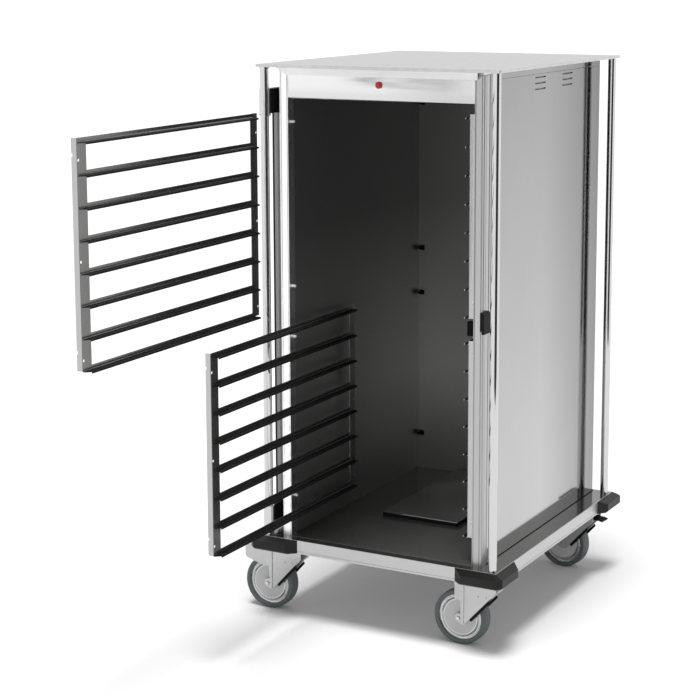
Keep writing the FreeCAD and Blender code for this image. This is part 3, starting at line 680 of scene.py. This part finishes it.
def uprightOutline(web, flange):
    # x runs from the free edge of the flange to the web's inner face, y from the flange's face
    sheet = uprightLook["sheet"]
    bend = uprightLook["bend"]
    outline = [(0, 0), (flange - bend, 0)]
    for k in range(1, uprightLook["bendSteps"]):
        turn = math.pi / 2 * k / uprightLook["bendSteps"]
        outline.append((flange - bend + bend * math.sin(turn), bend - bend * math.cos(turn)))
    inner = flange - sheet
    return outline + [(flange, bend), (flange, web), (inner, web), (inner, sheet), (0, sheet)]


def uprightCuts(cuts, low, high, front, inward, side, edge):
    # round holes through the web and notches in the flange, as solids to be cut away
    look = uprightLook
    start = edge + side * (high[0] - low[0] - 2 * look["sheet"])
    hole = front + inward * look["holeBack"]
    for drop in look["holeDrops"]:
        rim = []
        for k in range(look["holeSides"]):
            turn = 2 * math.pi * k / look["holeSides"]
            y = hole + look["holeRadius"] * math.cos(turn)
            rim.append((start, y, high[2] - drop + look["holeRadius"] * math.sin(turn)))
        solidFrom(cuts, rim, (side * look["holeThrough"], 0, 0))
    outer = edge - side * look["notchOut"]
    inner = edge + side * look["notchDeep"]
    ahead = front - look["notchAhead"]
    for level in (high[2] - look["notchDrop"], low[2] + look["notchDrop"]):
        bottom = level - look["notchHalf"]
        top = level + look["notchHalf"]
        corners = [(outer, ahead, bottom), (inner, ahead, bottom), (inner, ahead, top), (outer, ahead, top)]
        solidFrom(cuts, corners, (0, look["notchThrough"], 0))


def makeUprights():
    look = uprightLook
    for rack in rackPlaces:
        node = "rack_" + rack + "_uprights"
        low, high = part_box(node)
        side = -1 if "right" in rack else 1
        edge = high[0] if "right" in rack else low[0]
        rise = high[2] - low[2] - look["topTrim"]
        work = bmesh.new()
        cuts = bmesh.new()
        for front, web, inward in ((low[1], look["frontWeb"], 1), (high[1], look["rearWeb"], -1)):
            corners = uprightOutline(web, high[0] - low[0])
            outline = [(edge + side * x, front + inward * y, low[2]) for x, y in corners]
            solidFrom(work, outline, (0, 0, rise))
            uprightCuts(cuts, low, high, front, inward, side, edge)
        piece = finishPiece("rackUprights." + rack, work, ("rackSteelLit", "rackSteelShaded"))
        cutter = finishPiece("uprightCuts", cuts, ("rackSteelLit",))
        modifier = piece.modifiers.new("cut", "BOOLEAN")
        modifier.operation = "DIFFERENCE"
        modifier.solver = "EXACT"
        modifier.object = cutter
        bakeModifiers(piece)
        bpy.data.objects.remove(cutter)
        # painted light: faces towards the front get the lit copy of the steel, the others the shaded copy
        for polygon in piece.data.polygons:
            polygon.material_index = 0 if abs(polygon.normal.y) > look["facing"] else 1
        smoothByAngle(piece, pieceLook["smooth"])
        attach(piece, "rack_" + rack)
        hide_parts(node)


makeUprights()
print("rack uprights made")

# low tray over the floor: grey top with a small edge, and painted shade, black, on its sides
coverLook = dict(heightShare=0.52, edge=0.0016, facing=0.2)


def makeCover():
    low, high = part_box("floor_cover")
    work = bmesh.new()
    boxFrom(work, low, high, (high[2] - low[2]) * coverLook["heightShare"])
    cover = finishPiece("floorCover", work, ("coverSteel", "paintedShadeAndJointBlack"), bevel=coverLook["edge"])
    # painted shade: every face that does not look up is black
    for polygon in cover.data.polygons:
        polygon.material_index = 1 if polygon.normal.z < coverLook["facing"] else 0
    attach(cover, "cart")
    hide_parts("floor_cover")


makeCover()
print("floor cover made")

# pressed louvre blades: one rounded blade, copied down and along the panel
louvreLook = dict(
    rows=3, columns=2, pitch=0.0165, spacing=0.204, bladeLength=0.078, bladeHeight=0.0036,
    bladeDepth=0.0045,
)
louvreFit = dict(sides=12, drop=0.025, shift=0.037, back=0.0052, smooth=40)


def louvreTree():
    tree, start, end = newTree("louvreBlades", louvreLook)
    link = tree.links.new
    blade = geo(tree, "GeometryNodeMeshCylinder", fill_type="NGON")
    blade.inputs["Vertices"].default_value = louvreFit["sides"]
    link(mathOf(tree, "MULTIPLY", start.outputs["bladeHeight"], 0.5), blade.inputs["Radius"])
    link(start.outputs["bladeLength"], blade.inputs["Depth"])
    lay = geo(tree, "GeometryNodeTransform")
    link(blade.outputs["Mesh"], lay.inputs["Geometry"])
    lay.inputs["Rotation"].default_value = (math.pi / 2, 0, 0)
    flat = mathOf(tree, "DIVIDE", start.outputs["bladeDepth"], start.outputs["bladeHeight"])
    link(vectorOf(tree, flat, 1.0, 1.0), lay.inputs["Scale"])
    down = vectorOf(tree, 0.0, 0.0, mathOf(tree, "MULTIPLY", start.outputs["pitch"], -1.0))
    stack = copyAlong(tree, lay.outputs["Geometry"], start.outputs["rows"], down)
    along = vectorOf(tree, 0.0, start.outputs["spacing"], 0.0)
    groups = copyAlong(tree, stack, start.outputs["columns"], along)
    return closeTree(tree, start, end, groups)


def makeLouvres():
    tree = louvreTree()
    for side in ("left", "right"):
        low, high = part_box("side_panel_" + side)
        blades = grow("louvreBlades." + side, tree, louvreLook, "louvreSteel")
        middle = (low[1] + high[1]) / 2 + louvreFit["shift"]
        face = low[0] + louvreFit["back"] if side == "left" else high[0] - louvreFit["back"]
        first = middle - louvreLook["spacing"] / 2
        moveMesh(blades, Matrix.Translation((face, first, high[2] - louvreFit["drop"])))
        smoothByAngle(blades, louvreFit["smooth"])
        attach(blades, "cart")


makeLouvres()
print("louvre blades made")

# dark joint under each side panel
seamLook = dict(height=0.0022, lift=0.0001, proud=0.0003, back=0.002)


def makeSeams():
    look = seamLook
    for side in ("left", "right"):
        low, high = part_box("side_panel_" + side)
        left = low[0] - look["proud"] if side == "left" else high[0] - look["back"]
        right = low[0] + look["back"] if side == "left" else high[0] + look["proud"]
        work = bmesh.new()
        boxFrom(work, (left, low[1], low[2] + look["lift"]), (right, high[1]), look["height"])
        seam = finishPiece("panelSeam." + side, work, ("paintedShadeAndJointBlack",))
        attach(seam, "cart")


makeSeams()
print("seams made")

# ribbed buffer between the two right racks
bufferLook = dict(
    clear=0.009, deep=0.012, reach=0.004, ribs=3, ribWidth=0.0035, ribProud=0.003, ribSink=0.0005,
    edge=0.0005,
)


def makeBuffer():
    upperLow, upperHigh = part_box("rack_upper_right_uprights")
    lowerLow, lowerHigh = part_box("rack_lower_right_uprights")
    look = bufferLook
    bottom = lowerHigh[2] + look["clear"]
    rise = upperLow[2] - look["clear"] - bottom
    left = upperLow[0] - look["reach"]
    front = upperLow[1] + look["ribProud"]
    work = bmesh.new()
    boxFrom(work, (left, front, bottom), (upperHigh[0], front + look["deep"]), rise)
    step = (upperHigh[0] - left - look["ribWidth"]) / (look["ribs"] - 1)
    for k in range(look["ribs"]):
        start = left + k * step
        ribEnd = (start + look["ribWidth"], front + look["ribSink"])
        boxFrom(work, (start, upperLow[1], bottom), ribEnd, rise)
    buffer = finishPiece("rackBuffer", work, ("blackPlastic",), bevel=look["edge"])
    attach(buffer, "cart")


makeBuffer()
print("buffer made")

# castors: pressed fork with a rib beside the axle, disc wheel with two turned rings
forkLook = dict(
    axleBack=0.068, axleHigh=0.08, inner=0.025, outer=0.028, ribOut=0.0302, ribSink=0.001, cheekInset=0.0002,
    crownLow=0.184, crownHigh=0.188, crownFront=0.114, crownInset=0.0003, crownRear=-0.013, cheekRear=-0.077,
    raceSides=48, axleSides=32, darkStripOut=0.0292, darkStripBevel=0.0006, bevel=0.0008,
)
# corners of the parts of one fork side: distance ahead of the axle, height
legCorners = [
    (-0.013, 0.188), (-0.013, 0.139), (-0.010, 0.135), (0.004, 0.132), (0.006, 0.096), (0.001, 0.0895),
    (-0.006, 0.0865), (-0.0088, 0.080), (-0.006, 0.0735), (0.001, 0.0685), (0.007, 0.0635), (0.018, 0.0635),
    (0.022, 0.068), (0.097, 0.151), (0.108, 0.159), (0.114, 0.168), (0.114, 0.188),
]
cheekCorners = [
    (-0.077, 0.188), (-0.077, 0.156), (-0.072, 0.150), (-0.045, 0.141), (-0.012, 0.132), (0.0, 0.132),
    (0.0, 0.188),
]
ribCorners = [
    (0.008, 0.066), (0.0105, 0.0635), (0.0145, 0.0635), (0.017, 0.066), (0.017, 0.182), (0.008, 0.182),
]
# corners of the black strip along the slanted lower edge of each leg: distance ahead of the axle, height
darkStripCorners = [
    (0.0345, 0.0820), (0.0362, 0.0775), (0.0404, 0.0762), (0.0944, 0.1362), (0.0955, 0.1400),
    (0.0920, 0.1445),
]
rivetSpots = [(0.060, 0.152), (0.085, 0.152)]
# turned parts: radius, height of the race; radius, distance from the middle of one half of the axle
raceProfile = [
    (0.002, 0.187), (0.024, 0.187), (0.024, 0.191), (0.0225, 0.1918), (0.0225, 0.1928), (0.021, 0.1967),
    (0.002, 0.1967),
]
axleHalf = [(0.0005, 0.028), (0.006, 0.028), (0.006, 0.025), (0.013, 0.025), (0.013, 0.0153), (0.006, 0.0153)]


def castorFrame(place):
    # frame of a castor from its swivel and axle joints: origin on the floor under the swivel
    swivel = Vector(joints["swivel_" + place]["pos_m"])
    forward = swivel - Vector(joints["wheel_spin_" + place]["pos_m"])
    forward.z = 0
    forward.normalize()
    upward = Vector((0, 0, 1))
    turn = Matrix((forward, upward.cross(forward), upward)).transposed().to_4x4()
    return Matrix.Translation((swivel.x, swivel.y, 0)) @ turn


def sideSolid(work, corners, near, far):
    back = -forkLook["axleBack"]
    solidFrom(work, [(back + u, near, z) for u, z in corners], (0, far - near, 0))


def makeForks():
    look = forkLook
    for place in castorPlaces:
        work = bmesh.new()
        cheeks = place == "front_left"
        for side in (-1, 1):
            sideSolid(work, legCorners, side * look["inner"], side * look["outer"])
            if cheeks:
                near, far = look["inner"] + look["cheekInset"], look["outer"] - look["cheekInset"]
                sideSolid(work, cheekCorners, side * near, side * far)
            sideSolid(work, ribCorners, side * (look["outer"] - look["ribSink"]), side * look["ribOut"])
        rear = look["cheekRear"] if cheeks else look["crownRear"]
        crown = [
            (rear, look["crownLow"]), (look["crownFront"], look["crownLow"]),
            (look["crownFront"], look["crownHigh"]), (rear, look["crownHigh"]),
        ]
        width = look["outer"] - look["crownInset"]
        sideSolid(work, crown, -width, width)
        upward, ahead, across = Vector((0, 0, 1)), Vector((1, 0, 0)), Vector((0, 1, 0))
        lathe(work, raceProfile, look["raceSides"], Vector((0, 0, 0)), upward, ahead)
        axleProfile = [(r, -d) for r, d in axleHalf] + axleHalf[::-1]
        axle = Vector((-look["axleBack"], 0, look["axleHigh"]))
        lathe(work, axleProfile, look["axleSides"], axle, across, ahead)
        fork = finishPiece("castorFork." + place, work, ("zincPlate",), bevel=look["bevel"])
        home = castorFrame(place)
        moveMesh(fork, home)
        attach(fork, "castor_" + place)
        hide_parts("castor_fork_" + place)
        # black strip along the slanted lower edge of both legs
        edges = bmesh.new()
        for side in (-1, 1):
            sideSolid(edges, darkStripCorners, side * look["inner"], side * look["darkStripOut"])
        darkStrip = finishPiece("forkDarkStrip." + place, edges, ("blackPlastic",), bevel=look["darkStripBevel"])
        moveMesh(darkStrip, home)
        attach(darkStrip, "castor_" + place)


makeForks()
print("castor forks made")

# wheel: radius and distance from the middle of the tyre's wall and of the disc's face, grooves of the
# tread, and for each turned ring its inner and outer radius and its depth
wheelLook = dict(
    steps=96, tyreOuter=0.08, tyreHalf=0.02, shoulder=0.004, shoulderSteps=5, shoulderSink=0.0003,
    tyreWall=((0.065, 0.0147), (0.0658, 0.0188), (0.068, 0.02), (0.0745, 0.02)),
    grooves=(-0.0075, 0.0075), grooveHalf=0.0011, grooveFloor=0.0006, grooveDeep=0.0012,
    discFace=((0.00605, 0.014), (0.016, 0.014), (0.017, 0.0146), (0.035, 0.0142), (0.0506, 0.015)),
    discEdge=(0.0653, 0.015), rings=((0.0526, 0.0586, 0.0045), (0.0600, 0.0642, 0.0035)), ringSteps=6,
    # polished: reach of the turned rings; shaded: reach of the painted dark reflection in the inner ring
    polished=(0.0514, 0.0652), shaded=(0.0540, 0.0575),
)


def tyreProfile(look):
    # from the bore over the near wall, the tread with two fine grooves and the far wall
    outer = look["tyreOuter"]
    shoulder = look["shoulder"]
    points = [(r, -d) for r, d in look["tyreWall"]]
    for k in range(1, look["shoulderSteps"]):
        turn = math.pi / 2 * k / look["shoulderSteps"]
        reach = outer - shoulder + shoulder * math.sin(turn) - look["shoulderSink"]
        points.append((reach, -look["tyreHalf"] + shoulder - shoulder * math.cos(turn)))
    mirrored = [(r, -d) for r, d in reversed(points)]
    floor = outer - look["grooveDeep"]
    for groove in look["grooves"]:
        points += [
            (outer, groove - look["grooveHalf"]), (floor, groove - look["grooveFloor"]),
            (floor, groove + look["grooveFloor"]), (outer, groove + look["grooveHalf"]),
        ]
    return points + mirrored


def rimProfile(look):
    face = look["discEdge"][1]
    side = [(r, -d) for r, d in look["discFace"]]
    for inner, outer, deep in look["rings"]:
        for k in range(look["ringSteps"] + 1):
            turn = math.pi * k / look["ringSteps"]
            reach = (inner + outer - (outer - inner) * math.cos(turn)) / 2
            side.append((reach, -face + deep * math.sin(turn)))
    side.append((look["discEdge"][0], -face))
    return side + [(r, -d) for r, d in reversed(side)]


def paintRim(rim, centre, axis, look):
    # polished rings, with a painted dark reflection as a darker band in the middle of the inner one
    for polygon in rim.data.polygons:
        arm = polygon.center - centre
        reach = (arm - axis * arm.dot(axis)).length
        polished = look["polished"][0] < reach < look["polished"][1]
        shaded = look["shaded"][0] < reach < look["shaded"][1]
        polygon.material_index = 2 if shaded else 1 if polished else 0


def makeWheels():
    look = wheelLook
    for place in castorPlaces:
        spin = joints["wheel_spin_" + place]
        centre = Vector(spin["pos_m"])
        axis = Vector(spin["axis"]).normalized()
        first = Vector((0, 0, 1)).cross(axis).normalized()
        work = bmesh.new()
        lathe(work, tyreProfile(look), look["steps"], centre, axis, first)
        tyre = finishPiece("castorTyre." + place, work, ("tyreRubber",))
        work = bmesh.new()
        lathe(work, rimProfile(look), look["steps"], centre, axis, first)
        rim = finishPiece("castorRim." + place, work, ("discPlastic", "rimChrome", "rimShade"))
        paintRim(rim, centre, axis, look)
        for piece, node, slot in ((tyre, "castor_tyre_", "tyre"), (rim, "castor_rim_", "wheel_disc")):
            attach(piece, "wheel_" + place)
            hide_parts(node + place)


makeWheels()
print("castor wheels made")

# rivets and nuts, spread over their spots by one tree
fastenerLook = {
    "forkRivets": dict(headRadius=0.003, headRise=0.0014, sides=12),
    "axleNuts": dict(headRadius=0.0066, headRise=0.004, sides=6),
}
fastenerFit = dict(topShare=0.72, smooth=35)


def headTree():
    # low turned head: a blunt cone, copied to every spot along the spot's direction
    tree, start, end = newTree("fastenerHeads", fastenerLook["forkRivets"])
    link = tree.links.new
    foot = geo(tree, "GeometryNodeMeshCone", fill_type="NGON")
    link(start.outputs["sides"], foot.inputs["Vertices"])
    link(start.outputs["headRadius"], foot.inputs["Radius Bottom"])
    top = mathOf(tree, "MULTIPLY", start.outputs["headRadius"], fastenerFit["topShare"])
    link(top, foot.inputs["Radius Top"])
    link(start.outputs["headRise"], foot.inputs["Depth"])
    facing = geo(tree, "GeometryNodeInputNamedAttribute", data_type="FLOAT_VECTOR")
    facing.inputs["Name"].default_value = "facing"
    aim = geo(tree, "FunctionNodeAlignRotationToVector", axis="Z")
    link(facing.outputs["Attribute"], aim.inputs["Vector"])
    copies = geo(tree, "GeometryNodeInstanceOnPoints")
    link(start.outputs["Spots"], copies.inputs["Points"])
    link(foot.outputs["Mesh"], copies.inputs["Instance"])
    link(aim.outputs["Rotation"], copies.inputs["Rotation"])
    return closeTree(tree, start, end, copies.outputs["Instances"])


def makeFasteners():
    tree = headTree()
    look = forkLook
    for place in castorPlaces:
        home = castorFrame(place)
        rivets = []
        nuts = []
        for side in (-1, 1):
            facing = home.to_3x3() @ Vector((0, side, 0))
            for u, z in rivetSpots:
                rivets.append((home @ Vector((u - look["axleBack"], side * look["outer"], z)), facing))
            nut = Vector((-look["axleBack"], side * look["outer"], look["axleHigh"]))
            nuts.append((home @ nut, facing))
        for kind, finishName, spots in (("forkRivets", "zincPlate", rivets), ("axleNuts", "rimChrome", nuts)):
            piece = grow(kind + "." + place, tree, fastenerLook[kind], finishName, spots)
            smoothByAngle(piece, fastenerFit["smooth"])
            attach(piece, "castor_" + place)


makeFasteners()
print("fasteners made")

stageLook = dict(
    halfSize=150.0, tone=grey(0.80), spread=0.005, paperScale=3.0, paperDetail=2, roughness=0.9,
    floorGlow=0.04,
    worldStrength=0.44, seenStrength=1.0, sunStrength=3.1, sunAngle=23.0, sunTilt=(8.0, 2.0),
    flagWidth=3.4, flagHeight=3.2, flagFoot=0.02, flagAway=3.4, flagTurn=-34.0,
)


def stagePiece(name, corners, finish):
    mesh = bpy.data.meshes.new(name)
    mesh.from_pydata([tuple(corner) for corner in corners], [], [(0, 1, 2, 3)])
    mesh.update()
    mesh.materials.append(finish)
    return linkPiece(name, mesh)


def seenDirectly(tree):
    # 1 for what the camera sees, also in a mirror or through glass, and 0 for scattered light
    path = tree.nodes.new("ShaderNodeLightPath")
    seen = path.outputs["Is Camera Ray"]
    for kind in ("Is Glossy Ray", "Is Transmission Ray"):
        either = tree.nodes.new("ShaderNodeMath")
        either.operation = "MAXIMUM"
        tree.links.new(seen, either.inputs[0])
        tree.links.new(path.outputs[kind], either.inputs[1])
        seen = either.outputs[0]
    return seen


def makeFloor():
    look = stageLook
    finish, tree, shader = newFinish("studioPaper")
    paper = noiseNode(tree, objectCoords(tree), look["paperScale"], look["paperDetail"])
    tree.links.new(twoTone(tree, paper, look["tone"], look["spread"]), shader.inputs["Base Color"])
    shader.inputs["Roughness"].default_value = look["roughness"]
    shader.inputs["Specular IOR Level"].default_value = 0.0
    # the paper is seen a little brighter than it is lit, so that it ends up white away from the shadow
    glow = tree.nodes.new("ShaderNodeEmission")
    glow.inputs["Color"].default_value = (1, 1, 1, 1)
    level = mapRange(tree, seenDirectly(tree), 0, look["floorGlow"], 0, 1)
    tree.links.new(level, glow.inputs["Strength"])
    both = tree.nodes.new("ShaderNodeAddShader")
    tree.links.new(shader.outputs["BSDF"], both.inputs[0])
    tree.links.new(glow.outputs["Emission"], both.inputs[1])
    output = next(node for node in tree.nodes if node.type == "OUTPUT_MATERIAL")
    tree.links.new(both.outputs["Shader"], output.inputs["Surface"])
    half = look["halfSize"]
    corners = [(-half, -half, 0), (half, -half, 0), (half, half, 0), (-half, half, 0)]
    stagePiece("studioFloor", corners, finish)


def makeFlag():
    # dark studio flag to the right of the camera, seen only in the polished pieces
    look = stageLook
    turn = math.radians(look["flagTurn"])
    away = Vector((math.cos(turn), math.sin(turn), 0)) * look["flagAway"]
    along = Vector((-math.sin(turn), math.cos(turn), 0)) * (look["flagWidth"] / 2)
    foot = Vector((centreX, centreY, look["flagFoot"])) + away
    rise = Vector((0, 0, look["flagHeight"]))
    corners = [foot - along, foot + along, foot + along + rise, foot - along + rise]
    flag = stagePiece("studioFlag", corners, finishes["recessShade"])
    for kind in ("camera", "diffuse", "shadow", "transmission", "volume_scatter"):
        setattr(flag, "visible_" + kind, False)


def makeWorld():
    # white sky: plain where it is seen, softer where it lights the cart
    world = bpy.data.worlds.new("studioSky")
    bpy.context.scene.world = world
    world.use_nodes = True
    tree = world.node_tree
    tree.nodes.clear()
    output = tree.nodes.new("ShaderNodeOutputWorld")
    mix = tree.nodes.new("ShaderNodeMixShader")
    tree.links.new(seenDirectly(tree), mix.inputs["Fac"])
    for index, strength in ((1, stageLook["worldStrength"]), (2, stageLook["seenStrength"])):
        sky = tree.nodes.new("ShaderNodeBackground")
        sky.inputs["Color"].default_value = (1, 1, 1, 1)
        sky.inputs["Strength"].default_value = strength
        tree.links.new(sky.outputs[0], mix.inputs[index])
    tree.links.new(mix.outputs[0], output.inputs["Surface"])


def makeSun():
    light = bpy.data.lights.new("softKey", "SUN")
    light.energy = stageLook["sunStrength"]
    light.angle = math.radians(stageLook["sunAngle"])
    lamp = bpy.data.objects.new("softKey", light)
    lamp.rotation_euler = [math.radians(a) for a in (*stageLook["sunTilt"], 0)]
    lamp.visible_glossy = False
    bpy.context.scene.collection.objects.link(lamp)


# place is measured from the middle of the lid, on the floor
cameraLook = dict(
    place=(2.3285, -4.8342, 1.8983), yaw=0.50128, pitch=0.15968, roll=-0.0037, lens=93.21, sensor=36,
    shiftY=-0.1325, clipEnd=500,
)


def makeCamera():
    look = cameraLook
    camera = bpy.data.cameras.new("photoView")
    camera.lens = look["lens"]
    camera.sensor_width = look["sensor"]
    camera.shift_y = look["shiftY"]
    camera.clip_end = look["clipEnd"]
    holder = bpy.data.objects.new("photoView", camera)
    x, y, z = look["place"]
    turn = (
        Matrix.Rotation(look["yaw"], 4, "Z")
        @ Matrix.Rotation(math.pi / 2 - look["pitch"], 4, "X")
        @ Matrix.Rotation(look["roll"], 4, "Z")
    )
    holder.matrix_world = Matrix.Translation((x + centreX, y + centreY, z)) @ turn
    bpy.context.scene.collection.objects.link(holder)
    bpy.context.scene.camera = holder


makeFloor()
makeFlag()
makeWorld()
makeSun()
makeCamera()
bpy.context.scene.view_settings.view_transform = "Standard"
print("stage, light and camera set")
